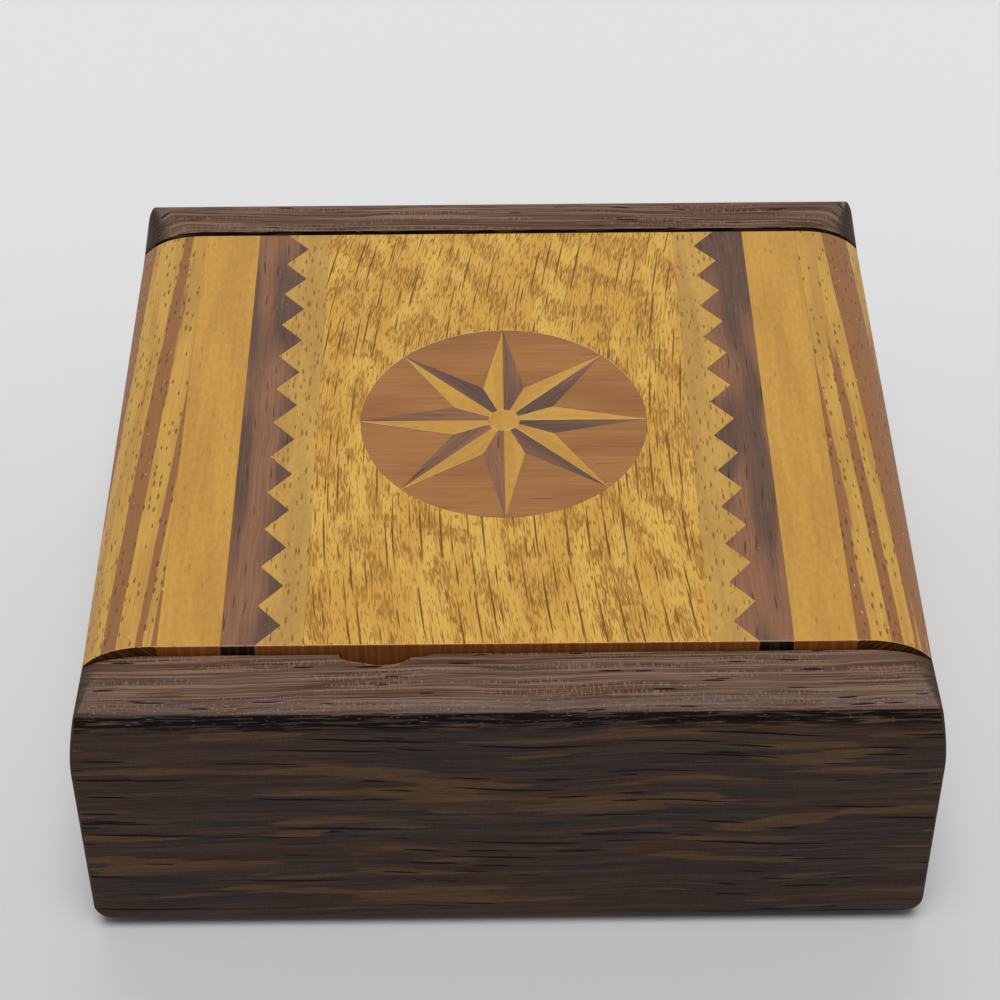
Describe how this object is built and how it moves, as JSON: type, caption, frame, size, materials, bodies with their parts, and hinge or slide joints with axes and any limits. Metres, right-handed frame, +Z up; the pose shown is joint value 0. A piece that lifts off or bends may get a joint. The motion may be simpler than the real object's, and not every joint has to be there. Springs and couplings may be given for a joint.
{
  "type": "inlaid trinket box",
  "caption": "Small wooden trinket box with dark front and back rails and a sliding lid inlaid with an eight-pointed star and banding.",
  "frame": {"origin": "middle of the base board's underside, on the surface that the box stands on", "axes": "+X right along the rails, the way the lid slides open; +Y from the front rail to the back rail; +Z up"},
  "size_m": [0.0896, 0.0848, 0.0356],
  "materials": {
    "dark_rail_wood": "dark brown open-grained hardwood, satin lacquer",
    "plain_brown_wood": "plain brown hardwood, satin lacquer",
    "flecked_wood": "golden yellow hardwood with short brown flecks, satin lacquer",
    "red_brown_wood": "fine-grained red-brown hardwood, satin lacquer",
    "purple_brown_wood": "dark purple-brown hardwood, satin lacquer",
    "olive_wood": "olive-yellow speckled hardwood, satin lacquer",
    "honey_wood": "plain honey-yellow hardwood, satin lacquer",
    "striped_wood": "yellow hardwood with brown stripes, satin lacquer"
  },
  "bodies": {
    "box": {"front_rail": "dark_rail_wood", "back_rail": "dark_rail_wood", "left_wall": "plain_brown_wood", "right_wall": "plain_brown_wood", "base_board": "plain_brown_wood"},
    "lid": {"lid_core": "plain_brown_wood", "flecked_field": "flecked_wood", "left_olive_band": "olive_wood", "left_sawtooth_band": "purple_brown_wood", "left_honey_band": "honey_wood", "left_striped_edge": "striped_wood", "right_olive_band": "olive_wood", "right_sawtooth_band": "purple_brown_wood", "right_honey_band": "honey_wood", "right_striped_edge": "striped_wood", "star_disc": "honey_wood", "star_light_1": "honey_wood", "star_dark_1": "purple_brown_wood", "star_ground_1": "red_brown_wood", "star_light_2": "honey_wood", "star_dark_2": "purple_brown_wood", "star_ground_2": "red_brown_wood", "star_light_3": "honey_wood", "star_dark_3": "purple_brown_wood", "star_ground_3": "red_brown_wood", "star_light_4": "honey_wood", "star_dark_4": "purple_brown_wood", "star_ground_4": "red_brown_wood", "star_light_5": "honey_wood", "star_dark_5": "purple_brown_wood", "star_ground_5": "red_brown_wood", "star_light_6": "honey_wood", "star_dark_6": "purple_brown_wood", "star_ground_6": "red_brown_wood", "star_light_7": "honey_wood", "star_dark_7": "purple_brown_wood", "star_ground_7": "red_brown_wood", "star_light_8": "honey_wood", "star_dark_8": "purple_brown_wood", "star_ground_8": "red_brown_wood"}
  },
  "joints": [
    {"name": "lid_slide", "type": "slide", "parent": "box", "child": "lid", "axis": [1, 0, 0], "range_m": [0, 0.07]}
  ]
}
